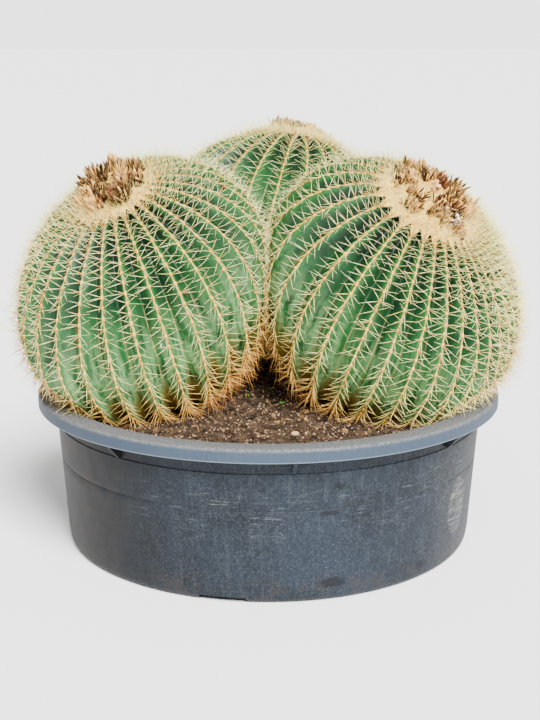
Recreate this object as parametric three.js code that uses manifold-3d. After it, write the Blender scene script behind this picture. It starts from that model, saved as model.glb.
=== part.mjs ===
// Three round ribbed cacti with woolly crowns, old flowers and needle spines, in a low round nursery tub.
// Millimetres, +Z up. The origin is the centre of the tub's flat base, and the open front of the
// cluster, where the soil shows between two heads, looks along -Y.
import * as THREE from "three";
import { mergeVertices } from "three/addons/utils/BufferGeometryUtils.js";
import Module from "manifold-3d";

const wasm = await Module();
wasm.setup();

// Tub
const RIM_RADIUS = 350;
const RIM_TOP = 231;
const RIM_INNER_RADIUS = 320;
const RIM_LIP_BOTTOM = 212;
const RIM_THICKNESS = 4;
const WALL_TOP_RADIUS = 325;
const WALL_BOTTOM_RADIUS = 309;
const WALL_THICKNESS = 5;
const WALL_BAND_BOTTOM = 188;
const WALL_BAND_STEP = 1.2;
const WALL_GROOVE_HEIGHT = 135;
const WALL_GROOVE_DEPTH = 1;
const FLOOR_THICKNESS = 6;
const CORNER_RADIUS = 12;
const TUB_SEGMENTS = 36;
const GUSSET_COUNT = 8;
const GUSSET_START_DEG = -84;
const GUSSET_THICKNESS = 5.5;
const GUSSET_DROP = 22;
const NOTCH_COUNT = 4;
const NOTCH_START_DEG = -101.7;
const NOTCH_WIDTH = 66;
const NOTCH_HEIGHT = 8;
const DRAIN_COUNT = 6;
const DRAIN_RADIUS = 10;
const DRAIN_CIRCLE = 170;

// Soil
const SOIL_EDGE_HEIGHT = 211;
const SOIL_MOUND = 15;
const SOIL_LUMP = 2.2;
const SOIL_SEGMENTS = 36;

// Heads. Lean is in degrees, to +X and to -Y. Stretch is how much longer a head is along a line, and how
// many degrees that line leans from upright to +X. Spread makes the ribs wider on one side. Crown is the
// half-angle of the wool.
const HEADS = [
  {
    name: "left", centre: [-180, -80, 390], radius: 184, halfHeight: 148, lean: [-17, 29],
    stretch: [1.2, 10], ribs: 28, phase: -104, spread: [0.01, -0.1], crown: 18,
  },
  {
    name: "right", centre: [176, -80, 383], radius: 185, halfHeight: 164, lean: [23.5, 35],
    stretch: [1.16, -22], ribs: 30, phase: -114.8, spread: [0.1, -0.3], crown: 23,
  },
  {
    name: "back", centre: [4, 232, 404], radius: 184, halfHeight: 193, lean: [12, -14],
    stretch: [1.16, 90], ribs: 29, phase: -95, spread: [0, 0], crown: 18,
  },
];
const FOOT_FULLNESS = 0.75;
const GROOVE_DEPTH = 21;
const GROOVE_TAPER = 0.7;
const HEAD_ROWS_DEG = [-68, -48, -31, -15, 0, 15, 30, 43, 54];
const BED_HEIGHT = 180;
const BED_SOFTNESS = 26;
const CONTACT_GAP = 5;
const CONTACT_SOFTNESS = 14;
const SEAT_GAP = 0.4;
const RIM_SEAT_RADIUS = 304;
const RIM_SEAT_HEIGHT = 226;
const RIM_SEAT_FLARE = 1.2;

// Spines
const SPINE_LATITUDES_DEG = [55, 41, 27, 12, -5, -23];
const SPINE_STAGGER_DEG = 7.5;
const SPINE_CROWN_MARGIN_DEG = 4;
const SPINE_LENGTH = [17, 25];
const SPINE_ROOT_RADIUS = 1.5;
const SPINE_ROOT_SINK = 6;
const SPINE_TIP_CLEARANCE = 1.5;
const SPINE_MOST_PRESSED = 5;
const SPINE_LIFT_STEP = 3;
const SPINE_LIFT_TRIES = 12;

// Crowns. The rows are shares of the crown's half-angle.
const WOOL_UNDERSIDE_ROWS = [0.5, 1];
const WOOL_TOP_ROWS = [1.02, 0.86, 0.64, 0.42, 0.2];
const WOOL_HEIGHT = 9;
const WOOL_EDGE_HEIGHT = 2;
const WOOL_DIMPLE = 4;
const WOOL_LUMP = 1.1;
const FLOWER_RING_ROWS = [0.42, 0.64, 0.86];
const FLOWER_RING_INSET = 0.05;
const FLOWER_RING_HEIGHT = 6;
const FLOWER_COUNT = 14;
const FLOWER_HEIGHT = 21;
const FLOWER_RADIUS = 8;

const deg = THREE.MathUtils.degToRad;

// Seeded random numbers from 0 to 1, the same each run.
function seededRandom(seed) {
  let state = seed;
  return () => {
    state = (state + 0x6d2b79f5) | 0;
    let t = Math.imul(state ^ (state >>> 15), 1 | state);
    t = (t + Math.imul(t ^ (t >>> 7), 61 | t)) ^ t;
    return ((t ^ (t >>> 14)) >>> 0) / 4294967296;
  };
}

// A closed geometry as a solid that can be joined and cut.
function solidOf(geometry) {
  const bare = geometry.index ? geometry.toNonIndexed() : geometry.clone();
  const shape = new THREE.BufferGeometry().setAttribute("position", bare.getAttribute("position"));
  const merged = mergeVertices(shape, 1e-3);
  return new wasm.Manifold(new wasm.Mesh({
    numProp: 3,
    vertProperties: merged.attributes.position.array,
    triVerts: new Uint32Array(merged.index.array),
  }));
}

function geometryOf(solid) {
  const mesh = solid.getMesh();
  const positions = new THREE.BufferAttribute(new Float32Array(mesh.vertProperties), 3);
  return new THREE.BufferGeometry()
    .setAttribute("position", positions)
    .setIndex(new THREE.BufferAttribute(new Uint32Array(mesh.triVerts), 1));
}

// The largest of a solid's separate bodies, without the needles whose roots miss it.
function largestBody(solid) {
  return solid.decompose().sort((a, b) => b.volume() - a.volume())[0];
}

// The index of the strips between rings of points, where ring i + 1 lies outside, above or inside ring i.
function stripIndex(ringCount, side, closed, offset = 0) {
  const index = [];
  for (let i = 0; i < (closed ? ringCount : ringCount - 1); i++) {
    const low = offset + i * side;
    const high = offset + ((i + 1) % ringCount) * side;
    for (let j = 0; j < side; j++) {
      const next = (j + 1) % side;
      index.push(low + j, low + next, high + next, low + j, high + next, high + j);
    }
  }
  return index;
}

// Rings of points that run anticlockwise seen from above, closed by an end point each way.
function closedRings(rings, first, last) {
  const points = [first, ...rings.flat(), last];
  const side = rings[0].length;
  const index = stripIndex(rings.length, side, false, 1);
  const end = points.length - 1;
  for (let j = 0; j < side; j++) {
    const next = (j + 1) % side;
    index.push(0, 1 + next, 1 + j, end - side + j, end - side + next, end);
  }
  return new THREE.BufferGeometry().setFromPoints(points).setIndex(index);
}

// A profile of [radius, height] points turned about Z.
function lathe(profile, segments) {
  const points = profile.map(([r, z]) => new THREE.Vector2(r, z));
  return new THREE.LatheGeometry(points, segments).rotateX(Math.PI / 2);
}

function arc(centreR, centreZ, radius, fromDeg, toDeg, steps) {
  return Array.from({ length: steps + 1 }, (_, i) => {
    const angle = deg(fromDeg + ((toDeg - fromDeg) * i) / steps);
    return [centreR + radius * Math.cos(angle), centreZ + radius * Math.sin(angle)];
  });
}

function wallRadiusAt(height) {
  return THREE.MathUtils.mapLinear(height, 0, RIM_TOP, WALL_BOTTOM_RADIUS, WALL_TOP_RADIUS);
}

function innerRadiusAt(height) {
  return Math.min(wallRadiusAt(height) - WALL_THICKNESS, RIM_INNER_RADIUS);
}

// The tub's body: flat floor, rounded corner, tapered wall with one band and one groove, turned-down rim.
function tubShell() {
  const plateBottom = RIM_TOP - RIM_THICKNESS;
  const outside = [
    [0, 0],
    ...arc(WALL_BOTTOM_RADIUS - CORNER_RADIUS, CORNER_RADIUS, CORNER_RADIUS, -90, 0, 3),
    [wallRadiusAt(WALL_GROOVE_HEIGHT - 2), WALL_GROOVE_HEIGHT - 2],
    [wallRadiusAt(WALL_GROOVE_HEIGHT) - WALL_GROOVE_DEPTH, WALL_GROOVE_HEIGHT],
    [wallRadiusAt(WALL_GROOVE_HEIGHT + 2), WALL_GROOVE_HEIGHT + 2],
    [wallRadiusAt(WALL_BAND_BOTTOM), WALL_BAND_BOTTOM],
    [wallRadiusAt(WALL_BAND_BOTTOM) - WALL_BAND_STEP, WALL_BAND_BOTTOM + 1],
    [WALL_TOP_RADIUS - WALL_BAND_STEP, plateBottom],
    [RIM_RADIUS - RIM_THICKNESS, plateBottom],
    [RIM_RADIUS - RIM_THICKNESS, RIM_LIP_BOTTOM],
    [RIM_RADIUS, RIM_LIP_BOTTOM],
    [RIM_RADIUS, RIM_TOP - 4],
    [RIM_RADIUS - 5, RIM_TOP],
  ];
  const inside = [
    [RIM_INNER_RADIUS, RIM_TOP],
    [innerRadiusAt(CORNER_RADIUS + 8), CORNER_RADIUS + 8],
    [WALL_BOTTOM_RADIUS - CORNER_RADIUS - 4, FLOOR_THICKNESS],
    [0, FLOOR_THICKNESS],
  ];
  return solidOf(lathe([...outside, ...inside], TUB_SEGMENTS));
}

// An outline in radius and height, made a plate of the given thickness that stands at an angle round Z.
function radialPlate(outline, thickness, angleDeg) {
  const shape = new THREE.Shape(outline.map(([r, z]) => new THREE.Vector2(r, z)));
  const plate = new THREE.ExtrudeGeometry(shape, { depth: thickness, bevelEnabled: false });
  plate.translate(0, 0, -thickness / 2).rotateX(Math.PI / 2).rotateZ(deg(angleDeg));
  return solidOf(plate);
}

function tub() {
  let solid = tubShell();
  const lipInside = RIM_RADIUS - RIM_THICKNESS + 1;
  const rootRadius = WALL_TOP_RADIUS - WALL_THICKNESS + 1;
  const foot = RIM_LIP_BOTTOM - GUSSET_DROP;
  const gusset = [
    [rootRadius, foot],
    [wallRadiusAt(foot) + 3, foot],
    [lipInside, RIM_LIP_BOTTOM + 1],
    [lipInside, RIM_TOP - 3],
    [rootRadius, RIM_TOP - 3],
  ];
  for (let i = 0; i < GUSSET_COUNT; i++) {
    solid = solid.add(radialPlate(gusset, GUSSET_THICKNESS, GUSSET_START_DEG + (i * 360) / GUSSET_COUNT));
  }
  const notchInside = WALL_BOTTOM_RADIUS - CORNER_RADIUS;
  const notchOutside = WALL_BOTTOM_RADIUS + 10;
  const notch = [
    [notchInside, -5],
    [notchOutside, -5],
    [notchOutside, NOTCH_HEIGHT],
    [notchInside, NOTCH_HEIGHT],
  ];
  for (let i = 0; i < NOTCH_COUNT; i++) {
    solid = solid.subtract(radialPlate(notch, NOTCH_WIDTH, NOTCH_START_DEG + (i * 360) / NOTCH_COUNT));
  }
  for (let i = 0; i < DRAIN_COUNT; i++) {
    const angle = (i * 2 * Math.PI) / DRAIN_COUNT;
    const hole = new THREE.CylinderGeometry(DRAIN_RADIUS, DRAIN_RADIUS, 4 * FLOOR_THICKNESS, 10);
    hole.rotateX(Math.PI / 2).translate(DRAIN_CIRCLE * Math.cos(angle), DRAIN_CIRCLE * Math.sin(angle), 0);
    solid = solid.subtract(solidOf(hole));
  }
  return solid;
}

function soilHeight(x, y) {
  const share = Math.min(1, Math.hypot(x, y) / RIM_INNER_RADIUS);
  const lump = Math.sin(x / 31 + 1) * Math.cos(y / 27) + 0.6 * Math.sin(x / 13 - y / 17);
  return SOIL_EDGE_HEIGHT + SOIL_MOUND * (1 - share * share) + SOIL_LUMP * lump * (1 - share ** 6);
}

// The unit vectors of a head's own frame: its axis, and two across it.
function headFrame(head) {
  const [leanX, leanFront] = head.lean.map(deg);
  const axis = new THREE.Vector3(Math.sin(leanX), -Math.sin(leanFront), 1).normalize();
  const across = new THREE.Vector3(0, 1, 0).cross(axis).normalize();
  return { axis, across, along: axis.clone().cross(across) };
}

// The planes that press a head flat: the bed it sits in, and the faces it shares with its neighbours.
function pressPlanes(head) {
  const down = new THREE.Vector3(0, 0, -1);
  const bed = { point: new THREE.Vector3(0, 0, BED_HEIGHT), out: down, softness: BED_SOFTNESS };
  const centre = new THREE.Vector3(...head.centre);
  const shared = HEADS.filter((other) => other !== head).map((other) => {
    const otherCentre = new THREE.Vector3(...other.centre);
    const out = otherCentre.clone().sub(centre).normalize();
    const point = centre.clone().lerp(otherCentre, 0.5).addScaledVector(out, -CONTACT_GAP);
    return { point, out, softness: CONTACT_SOFTNESS };
  });
  return [bed, ...shared];
}

// Moves a point back from each plane, smoothly, so that none passes it.
function pressed(point, planes) {
  for (const { point: origin, out, softness } of planes) {
    const past = point.clone().sub(origin).dot(out);
    point.addScaledVector(out, (past - Math.hypot(past, softness)) / 2 - past);
  }
  return point;
}

// Draws a point in where it would touch the tub's rim, so that a head leans out over the rim.
function clearOfRim(point, sink) {
  const limit = RIM_SEAT_RADIUS + Math.max(0, point.z - RIM_SEAT_HEIGHT) * RIM_SEAT_FLARE - sink;
  const share = Math.min(1, limit / Math.hypot(point.x, point.y));
  return point.set(point.x * share, point.y * share, point.z);
}

// Lengthens a vector of a head along the head's line of stretch, or, for a share of 1 / stretch, a normal.
function stretched(vector, head, factor) {
  const lean = deg(head.stretch[1]);
  const line = new THREE.Vector3(Math.sin(lean), 0, Math.cos(lean));
  return vector.addScaledVector(line, (factor - 1) * vector.dot(line));
}

// The outward direction of the smooth head at an azimuth and latitude.
function headNormal(head, frame, azimuth, latitude) {
  const normal = new THREE.Vector3()
    .addScaledVector(frame.across, (Math.cos(latitude) * Math.cos(azimuth)) / head.radius)
    .addScaledVector(frame.along, (Math.cos(latitude) * Math.sin(azimuth)) / head.radius)
    .addScaledVector(frame.axis, Math.sin(latitude) / head.halfHeight);
  return stretched(normal, head, 1 / head.stretch[0]).normalize();
}

// A point sink millimetres under the rib crests of a head that nothing presses. The lower half is fuller
// than a sphere.
function freePoint(head, frame, azimuth, latitude, sink) {
  const ring = head.radius * Math.cos(latitude) ** (latitude < 0 ? FOOT_FULLNESS : 1);
  const point = new THREE.Vector3()
    .addScaledVector(frame.across, ring * Math.cos(azimuth))
    .addScaledVector(frame.along, ring * Math.sin(azimuth))
    .addScaledVector(frame.axis, head.halfHeight * Math.sin(latitude));
  return stretched(point, head, head.stretch[0])
    .add(new THREE.Vector3(...head.centre))
    .addScaledVector(headNormal(head, frame, azimuth, latitude), -sink);
}

function headPoint(head, frame, azimuth, latitude, sink) {
  return clearOfRim(pressed(freePoint(head, frame, azimuth, latitude, sink), pressPlanes(head)), sink);
}

function grooveDepth(latitude) {
  return GROOVE_DEPTH * Math.cos(latitude) ** GROOVE_TAPER;
}

function ribAzimuth(head, rib) {
  const turn = (rib * 2 * Math.PI) / head.ribs;
  return deg(head.phase) + turn + head.spread[0] * Math.sin(turn) + head.spread[1] * (1 - Math.cos(turn));
}

function headRows(head) {
  const woolEdge = 90 - head.crown;
  const between = (HEAD_ROWS_DEG.at(-1) + woolEdge) / 2;
  return [...HEAD_ROWS_DEG, between, woolEdge, 90 - head.crown / 2].map(deg);
}

// A head's two ends, pushed in by sink millimetres.
function headEnds(head, frame, sink) {
  return [-Math.PI / 2, Math.PI / 2].map((latitude) => headPoint(head, frame, 0, latitude, sink));
}

// The ribbed body, with a crest and a valley to each rib.
function ribbedBody(head, frame) {
  const rings = headRows(head).map((latitude) => {
    return Array.from({ length: head.ribs * 2 }, (_, j) => {
      const sink = j % 2 ? grooveDepth(latitude) : 0;
      return headPoint(head, frame, ribAzimuth(head, j / 2), latitude, sink);
    });
  });
  return solidOf(closedRings(rings, ...headEnds(head, frame, 0)));
}

// The plain hole that a head's foot fills in the soil: one side to each crest, a little outside it.
function seat(head, frame) {
  const rings = headRows(head).map((latitude) => Array.from({ length: head.ribs }, (_, j) =>
    headPoint(head, frame, ribAzimuth(head, j), latitude, -SEAT_GAP)));
  return solidOf(closedRings(rings, ...headEnds(head, frame, -SEAT_GAP))).translate(0, 0, -SEAT_GAP);
}

function soil(frames) {
  const bottom = FLOOR_THICKNESS + 0.4;
  const cornerHeight = CORNER_RADIUS + 8;
  const edge = innerRadiusAt(SOIL_EDGE_HEIGHT) - 0.8;
  const top = [1, 0.86, 0.66, 0.44, 0.22].map((share) => [edge * share, SOIL_EDGE_HEIGHT]);
  const profile = [
    [0, bottom],
    [WALL_BOTTOM_RADIUS - CORNER_RADIUS - 5, bottom],
    [innerRadiusAt(cornerHeight) - 0.8, cornerHeight],
    ...top,
    [0, SOIL_EDGE_HEIGHT],
  ];
  const geometry = lathe(profile, SOIL_SEGMENTS);
  const position = geometry.getAttribute("position");
  for (let i = 0; i < position.count; i++) {
    if (position.getZ(i) > SOIL_EDGE_HEIGHT - 1) {
      position.setZ(i, soilHeight(position.getX(i), position.getY(i)));
    }
  }
  return HEADS.reduce((solid, head, i) => solid.subtract(seat(head, frames[i])), solidOf(geometry));
}

// True where a point of a spine is clear of the soil and of the tub's rim.
function clearOfTub(point) {
  const reach = Math.hypot(point.x, point.y);
  if (reach < RIM_INNER_RADIUS) return point.z > soilHeight(point.x, point.y) + 6;
  return reach > RIM_RADIUS + 3 || point.z > RIM_TOP + 3;
}

function spineIsClear(root, tip) {
  return [0.3, 0.45, 0.6, 0.75, 0.9, 1].every((share) => clearOfTub(root.clone().lerp(tip, share)));
}

// One needle: a three-sided point from a root under the crest out to its tip, or null where it has no room.
function spine(head, frame, azimuth, latitude, random) {
  const root = headPoint(head, frame, azimuth, latitude, SPINE_ROOT_SINK);
  const free = freePoint(head, frame, azimuth, latitude, SPINE_ROOT_SINK);
  if (root.distanceTo(free) > SPINE_MOST_PRESSED) return null;
  const normal = headNormal(head, frame, azimuth, latitude);
  const sway = new THREE.Vector3(random() - 0.5, random() - 0.5, random() - 0.5).multiplyScalar(0.9);
  const aim = normal.clone().add(sway).normalize();
  const length = THREE.MathUtils.lerp(...SPINE_LENGTH, random());
  const tip = headPoint(head, frame, azimuth, latitude, 0).addScaledVector(aim, length);
  const shared = pressPlanes(head).slice(1).map(({ point, out }) => (
    { point: point.clone().addScaledVector(out, CONTACT_GAP - SPINE_TIP_CLEARANCE), out, softness: 2 }));
  pressed(tip, shared);
  for (let tries = 0; !spineIsClear(root, tip); tries++) {
    if (tries === SPINE_LIFT_TRIES) return null;
    tip.z += SPINE_LIFT_STEP;
  }
  const reach = root.distanceTo(tip);
  const direction = tip.clone().sub(root).normalize();
  const needle = new THREE.ConeGeometry(SPINE_ROOT_RADIUS, reach, 3).translate(0, reach / 2, 0);
  needle.applyQuaternion(new THREE.Quaternion().setFromUnitVectors(new THREE.Vector3(0, 1, 0), direction));
  return solidOf(needle.translate(root.x, root.y, root.z));
}

function spinyHead(head, frame, seed) {
  const random = seededRandom(seed);
  const needles = [];
  for (let rib = 0; rib < head.ribs; rib++) {
    for (const rowDeg of SPINE_LATITUDES_DEG) {
      const latitudeDeg = rowDeg + (rib % 2 ? SPINE_STAGGER_DEG : 0);
      if (latitudeDeg > 90 - head.crown - SPINE_CROWN_MARGIN_DEG) continue;
      const needle = spine(head, frame, ribAzimuth(head, rib), deg(latitudeDeg), random);
      if (needle) needles.push(needle);
    }
  }
  return largestBody(wasm.Manifold.union([ribbedBody(head, frame), ...needles]));
}

// How far the crown's wool stands above the rib crests: a low cushion with a dimple in the middle.
function woolHeight(row, azimuth) {
  const cushion = WOOL_EDGE_HEIGHT + WOOL_HEIGHT * Math.max(0, 1 - row ** 3);
  const dimple = WOOL_DIMPLE * Math.exp(-((row * 3.5) ** 2));
  return cushion - dimple + WOOL_LUMP * Math.sin(azimuth * 4) * Math.sin(row * Math.PI);
}

// One ring of points over a head's crown, a point above each rib.
function crownRing(head, frame, row, heightAt) {
  return Array.from({ length: head.ribs }, (_, j) => {
    const azimuth = ribAzimuth(head, j);
    return headPoint(head, frame, azimuth, deg(90 - row * head.crown), -heightAt(row, azimuth));
  });
}

function crownWool(head, frame) {
  const rings = [
    ...WOOL_UNDERSIDE_ROWS.map((row) => crownRing(head, frame, row, () => SEAT_GAP)),
    ...WOOL_TOP_ROWS.map((row) => crownRing(head, frame, row, woolHeight)),
  ];
  const [under, over] = [SEAT_GAP, woolHeight(0, 0)].map((height) => headEnds(head, frame, -height)[1]);
  return solidOf(closedRings(rings, under, over));
}

// One dried flower: a tuft that widens from its foot to five dry points round a hollow middle.
function driedFlower(foot, aim, random) {
  const height = FLOWER_HEIGHT * (0.75 + 0.5 * random());
  const turn = random() * Math.PI;
  const rings = [[0, 0.75], [height, 1.15]].map(([z, share]) => Array.from({ length: 5 }, (_, j) => {
    const angle = turn + (j * 2 * Math.PI) / 5;
    const jitter = z ? 0.75 + 0.5 * random() : 1;
    const reach = FLOWER_RADIUS * share * jitter;
    return new THREE.Vector3(reach * Math.cos(angle), reach * Math.sin(angle), z * jitter);
  }));
  const geometry = closedRings(rings, new THREE.Vector3(), new THREE.Vector3(0, 0, height * 0.5));
  geometry.applyQuaternion(new THREE.Quaternion().setFromUnitVectors(new THREE.Vector3(0, 0, 1), aim));
  return solidOf(geometry.translate(foot.x, foot.y, foot.z));
}

// The matted ring of old flower bases on the wool.
function flowerRing(head, frame) {
  const under = FLOWER_RING_ROWS.map((row) =>
    crownRing(head, frame, row, (r, az) => woolHeight(r, az) + SEAT_GAP));
  const [inner, , outer] = FLOWER_RING_ROWS;
  const over = [outer - FLOWER_RING_INSET, inner + FLOWER_RING_INSET].map((row) =>
    crownRing(head, frame, row, (r, az) => woolHeight(r, az) + FLOWER_RING_HEIGHT));
  const rings = [...under, ...over];
  const geometry = new THREE.BufferGeometry().setFromPoints(rings.flat());
  return solidOf(geometry.setIndex(stripIndex(rings.length, head.ribs, true)));
}

function driedFlowers(head, frame, seed) {
  const random = seededRandom(seed);
  const flowers = Array.from({ length: FLOWER_COUNT }, (_, j) => {
    const azimuth = ((j + 0.5 * random()) * 2 * Math.PI) / FLOWER_COUNT;
    const row = FLOWER_RING_ROWS[1] + (random() - 0.5) * 0.1;
    const latitude = deg(90 - row * head.crown);
    const height = woolHeight(row, azimuth) + FLOWER_RING_HEIGHT / 2;
    const foot = headPoint(head, frame, azimuth, latitude, -height);
    const sway = new THREE.Vector3(random() - 0.5, random() - 0.5, random() - 0.5).multiplyScalar(0.4);
    return driedFlower(foot, headNormal(head, frame, azimuth, latitude).add(sway).normalize(), random);
  });
  return wasm.Manifold.union([flowerRing(head, frame), ...flowers]);
}

const materials = {
  tub: new THREE.MeshStandardMaterial({ color: 0x3f474e, roughness: 0.62, metalness: 0 }),
  soil: new THREE.MeshStandardMaterial({ color: 0x5a4638, roughness: 0.95, metalness: 0 }),
  skin: new THREE.MeshStandardMaterial({ color: 0x3f7d4c, roughness: 0.5, metalness: 0 }),
  wool: new THREE.MeshStandardMaterial({ color: 0xe6d2a8, roughness: 0.95, metalness: 0 }),
  flower: new THREE.MeshStandardMaterial({ color: 0x7a5136, roughness: 0.9, metalness: 0 }),
};

// A mesh that stands at a place of its own in its group.
function placed(name, solid, material, place = [0, 0, 0]) {
  const [x, y, z] = place;
  const mesh = new THREE.Mesh(geometryOf(solid).translate(-x, -y, -z), material);
  mesh.name = name;
  mesh.position.set(x, y, z);
  return mesh;
}

// A head with its crown of wool and dried flowers, each about the head's centre.
function cactus(head, frame, seed) {
  const { name, centre } = head;
  return new THREE.Group().add(
    placed(`cactus_${name}`, spinyHead(head, frame, seed), materials.skin, centre),
    placed(`crown_wool_${name}`, crownWool(head, frame), materials.wool, centre),
    placed(`dried_flowers_${name}`, driedFlowers(head, frame, seed + 20), materials.flower, centre),
  );
}

const frames = HEADS.map(headFrame);
const plant = new THREE.Group();
plant.add(placed("tub", tub(), materials.tub), placed("soil", soil(frames), materials.soil));
HEADS.forEach((head, i) => plant.add(cactus(head, frames[i], 11 + i)));

export default plant;
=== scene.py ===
from math import cos, pi, radians, sin

import bmesh
import bpy
import numpy as np
from mathutils import Matrix, Vector
from mathutils.bvhtree import BVHTree


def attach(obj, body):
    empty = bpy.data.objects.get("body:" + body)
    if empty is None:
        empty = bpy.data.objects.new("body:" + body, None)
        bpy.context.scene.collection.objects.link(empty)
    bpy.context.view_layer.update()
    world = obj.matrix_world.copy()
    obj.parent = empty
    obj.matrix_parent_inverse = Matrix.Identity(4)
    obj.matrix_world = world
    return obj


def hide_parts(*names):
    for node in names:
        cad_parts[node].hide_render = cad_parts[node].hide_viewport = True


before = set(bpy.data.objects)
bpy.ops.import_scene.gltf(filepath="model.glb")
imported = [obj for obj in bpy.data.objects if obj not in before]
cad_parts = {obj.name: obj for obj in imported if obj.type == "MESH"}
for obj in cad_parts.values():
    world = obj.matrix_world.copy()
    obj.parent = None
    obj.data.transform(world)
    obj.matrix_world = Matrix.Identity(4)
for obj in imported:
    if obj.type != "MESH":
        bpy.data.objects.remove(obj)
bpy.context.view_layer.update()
rng = np.random.default_rng(7)

# Tub
TUB_SEGMENTS = 240
RIM_RADIUS = 0.350
RIM_TOP = 0.231
RIM_INNER_RADIUS = 0.320
RIM_LIP_BOTTOM = 0.212
RIM_THICKNESS = 0.004
WALL_TOP_RADIUS = 0.325
WALL_BOTTOM_RADIUS = 0.309
WALL_THICKNESS = 0.005
WALL_BAND_BOTTOM = 0.188
WALL_GROOVE_HEIGHT = 0.135
FLOOR_THICKNESS = 0.006
CORNER_RADIUS = 0.012
FOOT_HEIGHT = 0.02
GUSSET_COUNT = 8
GUSSET_START = radians(-84)
GUSSET_THICKNESS = 0.0055
GUSSET_DROP = 0.022
NOTCH_COUNT = 4
NOTCH_START = radians(-101.7)
NOTCH_WIDTH = 0.066
NOTCH_HEIGHT = 0.008
SLOT_TURNS = [radians(-40.2), radians(139.8)]
SLOT_WIDTH = 0.009
SLOT_BOTTOM = 0.192
SLOT_TOP = 0.209
SLOT_DEPTH = 0.0045
DRAIN_COUNT = 6
DRAIN_RADIUS = 0.010
DRAIN_CIRCLE = 0.170

# Soil
SOIL_EDGE_HEIGHT = 0.211
SOIL_MOUND = 0.015
SOIL_LUMP = 0.0022
SOIL_BOTTOM = 0.0064
SOIL_PLAY = 0.0006
SOIL_SEGMENTS = 200
SOIL_RINGS = 76
OPEN_SOIL_REACH = 0.312

# Stems
FOOT_FULLNESS = 0.75
RIB_SEGMENTS = 8
STEM_ROWS = 180
CREST_ROUNDING = 0.12
CREST_SWELL = 0.0014
GROOVE_DEPTH = 0.021
GROOVE_TAPER = 0.7
BED_HEIGHT = 0.180
BED_SOFTNESS = 0.026
CONTACT_GAP = 0.0015
CONTACT_SOFTNESS = 0.008
RIM_SEAT_RADIUS = 0.304
RIM_SEAT_HEIGHT = 0.226
RIM_SEAT_FLARE = 1.2
AGE_REACH = radians(118)
HIDDEN_DEPTH = 0.06
HIDDEN_TOP = 0.42
HIDDEN_FADE = 0.12
SIDES_START = 0.28
SIDES_FADE = 0.06

# Areoles: where they begin, as a share of the crown's reach, the latitude they end at, and the size of their felt
AREOLE_SPACING = 0.0142
AREOLE_START = 0.6
AREOLE_END = radians(-62)
AREOLE_FELT_WIDTHS = [0.0042, 0.0024]
AREOLE_FELT_HEIGHT = 0.0018

# Crowns
WOOL_HAIRS = 1500
FLOWERS_PER_CROWN = 36
PETALS = 26
WOOL_ROWS = 44
GOLDEN_TURN = 2.39996
FELT_GRAIN = 500


# Vectors, as arrays whose last axis is x, y, z

def unit(v):
    return v / np.linalg.norm(v, axis=-1, keepdims=True)


def dot(a, b):
    return np.sum(a * b, axis=-1, keepdims=True)


def column(values):
    return np.asarray(values, float)[..., None]


def soil_height(x, y):
    """The height of the soil's top: a low mound with gentle lumps, level at its edge."""
    share = np.minimum(1, np.hypot(x, y) / RIM_INNER_RADIUS)
    lump = np.sin(x / 0.031 + 1) * np.cos(y / 0.027) + 0.6 * np.sin(x / 0.013 - y / 0.017)
    return SOIL_EDGE_HEIGHT + SOIL_MOUND * (1 - share ** 2) + SOIL_LUMP * lump * (1 - share ** 6)


def pressed(points, origin, out, softness):
    """Points past a plane brought back to it along its outward direction, with a soft bend before it."""
    past = dot(points - origin, out)
    return points + out * ((past - np.hypot(past, softness)) / 2 - past)


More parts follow.
